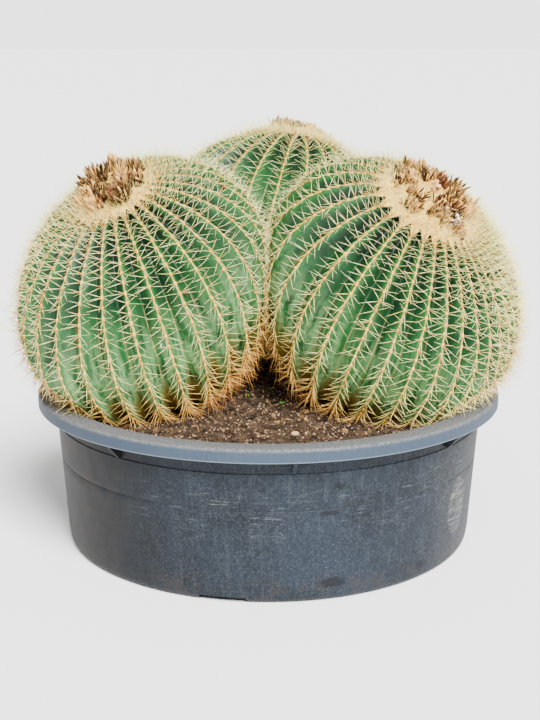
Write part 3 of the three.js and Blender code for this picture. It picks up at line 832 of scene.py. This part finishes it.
def flower_mesh(head, template, blob):
    """Dried flowers, each a tuft of crumpled flakes and pointed tips on a small bulb."""
    count = FLOWERS_PER_CROWN
    foot, normal, height = flower_places(head, count)
    side = unit(np.cross(normal, rng.normal(0, 1, foot.shape)))
    around = np.cross(normal, side)
    tone, hue = rng.uniform(0, 1, count), rng.uniform(0, 1, count)
    parts = []
    for k in range(PETALS):
        angle = k * GOLDEN_TURN + rng.uniform(-0.3, 0.3, count)
        out = column(np.cos(angle)) * side + column(np.sin(angle)) * around
        ring = column(rng.uniform(0.001, 0.008, count))
        aim = normal + out * ring * 70 * column(rng.uniform(0.3, 1.2, count))
        tall = column(height * rng.uniform(0.6, 1.3, count))
        parts.append((foot + out * ring, aim, np.cross(normal, out), out, tall))
    roots, aims, sides, outs, heights = (np.concatenate(part) for part in zip(*parts))
    aims, heights = unit(aims), heights[:, 0]
    total = len(roots)
    tones = np.tile(tone, PETALS) * 0.8 + rng.uniform(-0.15, 0.35, total)
    tones += 0.9 * (rng.uniform(0, 1, total) < 0.16)
    hues = np.tile(hue, PETALS)
    widths = np.stack([rng.uniform(0.0010, 0.0026, total), rng.uniform(0.0003, 0.0006, total)], axis=-1)
    flakes = scattered(blob, "flakes", roots + aims * column(heights * 0.5), aims, sides, heights * 0.5, widths,
                       tone=tones, age=hues)
    bends = outs * column(rng.normal(0, 0.2, total))
    tips = scattered(template, "tips", roots, aims, sides, heights * 0.9, widths[:, 1], bends, tone=tones, age=hues)
    bulbs = scattered(blob, "bulbs", foot, normal, side, height * 0.5, np.full(count, 0.006), tone=tone * 0.4, age=hue)
    return joined("flowers", flakes, tips, bulbs)


# Soil

def lathed(profile, segments, name):
    """A closed profile of [radius, height] points, from the axis and back to it, turned about Z."""
    bm = bmesh.new()
    verts = [bm.verts.new((r, 0, z)) for r, z in profile]
    edges = [bm.edges.new(pair) for pair in zip(verts, verts[1:])]
    bmesh.ops.spin(bm, geom=verts + edges, cent=(0, 0, 0), axis=(0, 0, 1), angle=2 * pi, steps=segments,
                   use_merge=True)
    bmesh.ops.remove_doubles(bm, verts=bm.verts, dist=1e-6)
    return mesh_of(bm, name)


def wall_radius(height):
    """The radius of the tub's outer wall, which widens evenly upwards."""
    return WALL_BOTTOM_RADIUS + (WALL_TOP_RADIUS - WALL_BOTTOM_RADIUS) * height / RIM_TOP


def soil_mesh():
    """The soil that fills the tub: a mound with lumps and a finely crumbled top."""
    edge = wall_radius(SOIL_EDGE_HEIGHT) - WALL_THICKNESS - SOIL_PLAY
    foot = wall_radius(FOOT_HEIGHT) - WALL_THICKNESS - SOIL_PLAY
    profile = [(0, SOIL_BOTTOM), (0.29, SOIL_BOTTOM), (foot, FOOT_HEIGHT)]
    profile += [(edge * share, SOIL_EDGE_HEIGHT) for share in np.linspace(1, 0, SOIL_RINGS)]
    mesh = lathed(profile, SOIL_SEGMENTS, "soil")
    points = read_points(mesh)
    top = points[:, 2] > SOIL_EDGE_HEIGHT - 0.001
    x, y = points[top, 0], points[top, 1]
    crumbs = 0.0011 * np.sin(x * 610 + 2 * np.sin(y * 420)) * np.sin(y * 540 + 2 * np.sin(x * 380))
    points[top, 2] = soil_height(x, y) + crumbs
    move_points(mesh, points)
    return mesh


def open_soil(stems, count):
    """Random places on the soil that no stem covers."""
    reach = OPEN_SOIL_REACH
    trees = [BVHTree.FromObject(stem, bpy.context.evaluated_depsgraph_get()) for stem in stems]
    found = []
    while len(found) < count:
        x, y = rng.uniform(-reach, reach, 2)
        if np.hypot(x, y) > reach:
            continue
        z = float(soil_height(x, y))
        hits = [tree.ray_cast(Vector((x, y, z)), Vector((0, 0, 1))) for tree in trees]
        if all(hit[0] is None or hit[1].z < 0 for hit in hits):
            found.append((x, y, z))
    return np.array(found)


def grit(template, places, smallest, largest, flatness=1.0, rise=0.2):
    """Grains of random size and turn on the soil, each raised by a share of its own size."""
    count = len(places)
    size = rng.uniform(smallest, largest, count)
    aims = rng.normal(0, 1, (count, 3)) * [1, 1, 1 / flatness]
    widths = np.stack([size * rng.uniform(0.6, 1, count), size * rng.uniform(0.5, 1, count) * flatness], axis=-1)
    sides = rng.normal(0, 1, (count, 3))
    return scattered(template, "grit", places + [0, 0, 1] * column(size * rise), aims, sides, size, widths,
                     tone=rng.uniform(0, 1, count))


# Seedlings on the soil: where each stands and how high its leaves are
SEEDLINGS = [(-0.0664, -0.061, 0.006), (-0.0406, -0.012, 0.008), (0.004, -0.043, 0.005), (0.02, -0.1146, 0.005),
             (-0.052, -0.052, 0.004), (-0.03, -0.075, 0.003)]


def seedling_mesh(template, places):
    """Small seedlings, each with two seed leaves on a short stalk."""
    parts = []
    for x, y, height in places:
        foot = np.array([x, y, float(soil_height(x, y))])
        turn = rng.uniform(0, pi)
        for way in (1, -1):
            out = np.array([cos(turn) * way, sin(turn) * way, 0.5])
            parts.append((foot + [0, 0, height], out, [0.0, 0, 1], 0.0028, (0.0006, 0.0018)))
        parts.append((foot + [0, 0, height / 2], [0.05, 0, 1.0], [1.0, 0, 0], height / 2, (0.0005, 0.0005)))
    roots, aims, sides, lengths, widths = (np.array(part, float) for part in zip(*parts))
    roots += unit(aims) * column(lengths) * 0.6
    return scattered(template, "seedlings", roots, aims, sides, lengths, widths,
                     tone=rng.uniform(0, 1, len(roots)))


# Twigs and a pebble on the soil, each with its foot, its aim, its side, its length, its widths and its tone
TWIGS = [
    ((-0.015, -0.250, 0.2185), (0.8, 0.55, 0.02), (1, 1, 1), 0.017, (0.0011, 0.0011), 0.9),
    ((0.060, -0.205, 0.2200), (0.75, -0.6, 0.03), (1, 1, 1), 0.015, (0.0007, 0.0007), 0.6),
    ((-0.060, -0.225, 0.2200), (-0.6, 0.7, 0.05), (1, 1, 1), 0.010, (0.0008, 0.0008), 0.3),
]
PEBBLE = [((0.0368, -0.2327, 0.2180), (0, 0, 1), (1, 0.3, 0), 0.0034, (0.0062, 0.0045), 0.7)]


def laid(template, name, things):
    roots, aims, sides, lengths, widths, tones = (np.array(part, float) for part in zip(*things))
    return scattered(template, name, roots, aims, sides, lengths, widths, tone=tones)


# Loose flakes fallen on the stems: the node they belong to, their slot, their darkest and lightest colour, and the
# middle, the reach and the number of flakes of each heap
SCRAPS = {
    "pale": ("crown_wool_right", "wool", colour(226, 190, 170), colour(255, 252, 246), [
        ((0.2510, -0.1960, 0.5025), 0.0085, 30), ((-0.1950, -0.1200, 0.5670), 0.006, 10),
        ((-0.1433, -0.2560, 0.3500), 0.003, 3)]),
    "tan": ("crown_wool_right", "wool", colour(150, 96, 50), colour(250, 214, 160), [
        ((0.2240, -0.1500, 0.5440), 0.011, 40), ((-0.2050, -0.1400, 0.5570), 0.011, 36),
        ((0.2400, -0.1900, 0.5160), 0.010, 14), ((0.2080, -0.1820, 0.5300), 0.012, 14)]),
    "yellow": ("dried_flowers_right", "flower", colour(200, 130, 10), colour(255, 226, 60), [
        ((0.2530, -0.1250, 0.5450), 0.0055, 9)]),
    "brown": ("dried_flowers_right", "flower", colour(60, 26, 16), colour(170, 112, 70), [
        ((0.2615, -0.1970, 0.4863), 0.0075, 18), ((-0.0630, -0.1160, 0.5430), 0.0045, 7),
        ((-0.1850, -0.2320, 0.4620), 0.004, 6), ((-0.1110, -0.2430, 0.4180), 0.005, 7)]),
}


def scrap_mesh(template, heaps):
    """Small crumpled flakes heaped round each middle."""
    middles = np.concatenate([np.array(middle) + rng.normal(0, reach * 0.45, (count, 3))
                              for middle, reach, count in heaps])
    sizes = np.concatenate([np.full(count, reach * 0.45) for _, reach, count in heaps])
    total = len(middles)
    widths = np.stack([sizes * rng.uniform(0.6, 1, total), sizes * rng.uniform(0.12, 0.25, total)], axis=-1)
    return scattered(template, "scraps", middles, rng.normal(0, 1, (total, 3)), rng.normal(0, 1, (total, 3)),
                     sizes, widths, tone=rng.uniform(0, 1, total))


# Tub

def tub_profile():
    """The tub's outline in radius and height, from the axis up its outside, over its rim and down its inside."""
    def arc(r, z, radius, start, end, steps):
        for i in range(steps + 1):
            a = radians(start + (end - start) * i / steps)
            yield r + radius * cos(a), z + radius * sin(a)

    plate = RIM_TOP - RIM_THICKNESS
    lip_inside = RIM_RADIUS - RIM_THICKNESS
    outside = [(0, 0), (0.27, 0), (0.283, 0), (0.290, 0)]
    outside += arc(WALL_BOTTOM_RADIUS - CORNER_RADIUS, CORNER_RADIUS, CORNER_RADIUS, -90, 0, 8)
    outside += [(wall_radius(z), z) for z in np.linspace(FOOT_HEIGHT, WALL_GROOVE_HEIGHT - 0.002, 12)]
    outside += [(wall_radius(WALL_GROOVE_HEIGHT) - 0.001, WALL_GROOVE_HEIGHT)]
    outside += [(wall_radius(z), z) for z in np.linspace(WALL_GROOVE_HEIGHT + 0.002, WALL_BAND_BOTTOM, 8)]
    outside += [(wall_radius(WALL_BAND_BOTTOM) - 0.0012, WALL_BAND_BOTTOM + 0.001)]
    outside += [(WALL_TOP_RADIUS - 0.0012, plate), (lip_inside, plate)]
    outside += [(lip_inside, RIM_LIP_BOTTOM + 0.001), (lip_inside + 0.001, RIM_LIP_BOTTOM)]
    outside += [(RIM_RADIUS - 0.001, RIM_LIP_BOTTOM), (RIM_RADIUS, RIM_LIP_BOTTOM + 0.001)]
    outside += arc(RIM_RADIUS - 0.005, RIM_TOP - 0.005, 0.005, 0, 90, 6)
    inside = [*arc(RIM_INNER_RADIUS + 0.0015, RIM_TOP - 0.0015, 0.0015, 90, 180, 3)]
    inside += [(wall_radius(FOOT_HEIGHT) - WALL_THICKNESS, FOOT_HEIGHT)]
    inside += [(0.293, FLOOR_THICKNESS), (0.27, FLOOR_THICKNESS), (0, FLOOR_THICKNESS)]
    return outside + inside


def radial_plate(bm, outline, thickness, turn):
    """An outline in radius and height, made a plate that stands at an angle round Z."""
    out, across = Vector((cos(turn), sin(turn), 0)), Vector((-sin(turn), cos(turn), 0))
    verts = [bm.verts.new(out * r - across * thickness / 2 + Vector((0, 0, z))) for r, z in outline]
    made = bmesh.ops.extrude_face_region(bm, geom=[bm.faces.new(verts)])["geom"]
    far_side = [part for part in made if isinstance(part, bmesh.types.BMVert)]
    bmesh.ops.translate(bm, verts=far_side, vec=across * thickness)


def cut(mesh, cutter):
    """The mesh with the cutter's shape taken out of it."""
    solid, tool = (bpy.data.objects.new(data.name, data) for data in (mesh, cutter))
    for piece in (solid, tool):
        bpy.context.scene.collection.objects.link(piece)
    modifier = solid.modifiers.new("cut", "BOOLEAN")
    modifier.object = tool
    modifier.operation = "DIFFERENCE"
    modifier.solver = "EXACT"
    made = bpy.data.meshes.new_from_object(solid.evaluated_get(bpy.context.evaluated_depsgraph_get()))
    for piece in (solid, tool):
        bpy.data.objects.remove(piece)
    return made


def rectangle(inner, outer, bottom, top):
    return [(inner, bottom), (outer, bottom), (outer, top), (inner, top)]


def tub_mesh():
    """The tub with its bottom notches, the slots under its lip and the drain holes in its floor."""
    cutter = bmesh.new()
    notch = rectangle(WALL_BOTTOM_RADIUS - CORNER_RADIUS, WALL_BOTTOM_RADIUS + 0.01, -0.005, NOTCH_HEIGHT)
    for i in range(NOTCH_COUNT):
        radial_plate(cutter, notch, NOTCH_WIDTH, NOTCH_START + i * 2 * pi / NOTCH_COUNT)
    slot = rectangle(WALL_TOP_RADIUS - SLOT_DEPTH, RIM_RADIUS - RIM_THICKNESS - 0.001, SLOT_BOTTOM, SLOT_TOP)
    for turn in SLOT_TURNS:
        radial_plate(cutter, slot, SLOT_WIDTH, turn)
    for i in range(DRAIN_COUNT):
        turn = i * 2 * pi / DRAIN_COUNT
        place_at = Matrix.Translation((DRAIN_CIRCLE * cos(turn), DRAIN_CIRCLE * sin(turn), 0))
        bmesh.ops.create_cone(cutter, cap_ends=True, segments=32, radius1=DRAIN_RADIUS, radius2=DRAIN_RADIUS,
                              depth=4 * FLOOR_THICKNESS, matrix=place_at)
    mesh = cut(lathed(tub_profile(), TUB_SEGMENTS, "tub"), mesh_of(cutter, "cutter"))
    mesh.set_sharp_from_angle(angle=radians(40))
    return mesh


def gusset_mesh():
    """The plates that brace the rim against the wall."""
    bm = bmesh.new()
    foot = RIM_LIP_BOTTOM - GUSSET_DROP
    root, lip_inside = WALL_TOP_RADIUS - WALL_THICKNESS + 0.001, RIM_RADIUS - RIM_THICKNESS + 0.001
    outline = [(root, foot), (wall_radius(foot) + 0.003, foot), (lip_inside, RIM_LIP_BOTTOM + 0.001),
               (lip_inside, RIM_TOP - 0.003), (root, RIM_TOP - 0.003)]
    for i in range(GUSSET_COUNT):
        radial_plate(bm, outline, GUSSET_THICKNESS, GUSSET_START + i * 2 * pi / GUSSET_COUNT)
    return mesh_of(bm, "gussets")


# Building

skin, spine_look = skin_material(), spine_material()
pad_look = felt_material("areole_felt", colour(222, 182, 60), colour(140, 92, 14))
wool_look = felt_material("crown_wool", colour(232, 190, 84), colour(128, 86, 24))
petal_look = petal_material()
hair_look = toned_material("wool_hair", colour(164, 112, 32), colour(250, 216, 108))
needle, hair = needle_template((0.4, 0.75)), needle_template((0.55,))
blob, crumb = round_template(1), crumb_template()

stems = []
for head in HEADS:
    rows = areoles(head)
    turns = np.concatenate([np.full(len(row), rib * 2 * pi / head.ribs) for rib, row in enumerate(rows)])
    latitudes = np.concatenate(rows)
    more = np.maximum(sides_and_back_at(head.point(turns, latitudes)), 3 * age_at(head, latitudes) - 2) > 0.3
    cad_stem, cad_wool = f"cactus_{head.name}", f"crown_wool_{head.name}"
    stems.append(add_piece(f"stem_{head.name}", stem_mesh(head, rows), skin, cad_stem))
    add_piece(f"areoles_{head.name}", areole_pads(head, turns, latitudes, blob), pad_look, cad_stem)
    quills = joined("spines", spines(head, turns, latitudes, SPINE_SET, needle),
                    spines(head, turns[more], latitudes[more], FURTHER_SPINES, needle))
    add_piece(f"spines_{head.name}", quills, spine_look, cad_stem)
    add_piece(f"wool_{head.name}", wool_mesh(head), wool_look, cad_wool)
    add_piece(f"wool_hairs_{head.name}", wool_hairs(head, hair), hair_look, cad_wool)
    flowers = flower_mesh(head, hair, blob)
    add_piece(f"flowers_{head.name}", flowers, petal_look, f"dried_flowers_{head.name}")

add_piece("soil_bed", soil_mesh(), soil_material(), "soil")
crumbs = grit(crumb, open_soil(stems, 3800), 0.0005, 0.0017)
crumb_look = toned_material("soil_crumb", colour(18, 11, 7), colour(150, 120, 90))
add_piece("soil_crumbs", crumbs, crumb_look, "soil", smooth=False)
chips = grit(crumb, open_soil(stems, 160), 0.0018, 0.0042, flatness=0.3)
chip_look = toned_material("bark_chip", colour(50, 30, 18), colour(176, 132, 84))
add_piece("soil_chips", chips, chip_look, "soil", smooth=False)
white_grains = grit(blob, open_soil(stems, 150), 0.0006, 0.0013, rise=0.5)
white_look = toned_material("perlite", colour(150, 144, 130), colour(255, 255, 250))
add_piece("perlite", white_grains, white_look, "soil")
leaf_look = toned_material("seedling_leaf", colour(30, 120, 16), colour(80, 190, 40), 0.5)
add_piece("seedlings", seedling_mesh(blob, SEEDLINGS), leaf_look, "soil")
bark = toned_material("old_wood", colour(120, 84, 50), colour(206, 166, 118))
add_piece("twigs", laid(needle, "twigs", TWIGS), bark, "soil")
add_piece("pebble", laid(round_template(2), "pebble", PEBBLE), bark, "soil")
for kind, (cad_node, slot, dark, light, heaps) in SCRAPS.items():
    flake_look = toned_material(f"{kind}_flake", dark, light)
    add_piece(f"{kind}_scraps", scrap_mesh(blob, heaps), flake_look, cad_node)

tub_look = tub_material()
add_piece("tub_shell", tub_mesh(), tub_look, "tub")
add_piece("tub_gussets", gusset_mesh(), tub_look, "tub", smooth=False)


# Studio
FLOOR_REACH = 300
CAMERA_PLACE = (0.0025, -1.9397, 0.7345)
CAMERA_DOWN = 13.594
CAMERA_LENS = 65


def studio_floor():
    bm = bmesh.new()
    bmesh.ops.create_grid(bm, x_segments=1, y_segments=1, size=FLOOR_REACH)
    piece = bpy.data.objects.new("studio_floor", mesh_of(bm, "studio_floor"))
    material, tree, shader = new_material("studio_floor")
    finish(tree, shader, (0.9, 0.9, 0.9, 1), 0.9)
    piece.data.materials.append(material)
    bpy.context.scene.collection.objects.link(piece)


def sun_light(name, towards, strength, softness):
    light = bpy.data.lights.new(name, "SUN")
    light.energy = strength
    light.angle = radians(softness)
    lamp = bpy.data.objects.new(name, light)
    lamp.rotation_euler = Vector(towards).to_track_quat("-Z", "Y").to_euler()
    bpy.context.scene.collection.objects.link(lamp)


def studio_world():
    """An even white dome, brighter just above the horizon so that the floor runs into it."""
    world = bpy.data.worlds.new("studio_world")
    world.use_nodes = True
    tree = world.node_tree
    height = node(tree, "SeparateXYZ", {"Vector": node(tree, "TexCoord").outputs["Generated"]}).outputs["Z"]
    low = ease(tree, height, 0.16, 0.04)
    strength = plus(tree, times(tree, low, 2.2), 0.7)
    tree.nodes["Background"].inputs["Color"].default_value = (1, 1, 1, 1)
    tree.links.new(strength, tree.nodes["Background"].inputs["Strength"])
    bpy.context.scene.world = world


def studio():
    studio_floor()
    sun_light("key_light", (-0.5, 1.3, -1.4), 13.0, 25)
    sun_light("fill_light", (0.4, 1.3, -0.2), 1.0, 60)
    studio_world()
    camera = bpy.data.objects.new("camera", bpy.data.cameras.new("camera"))
    camera.data.lens = CAMERA_LENS
    camera.location = CAMERA_PLACE
    camera.rotation_euler = (radians(90 - CAMERA_DOWN), 0, 0)
    bpy.context.scene.collection.objects.link(camera)
    bpy.context.scene.camera = camera


studio()
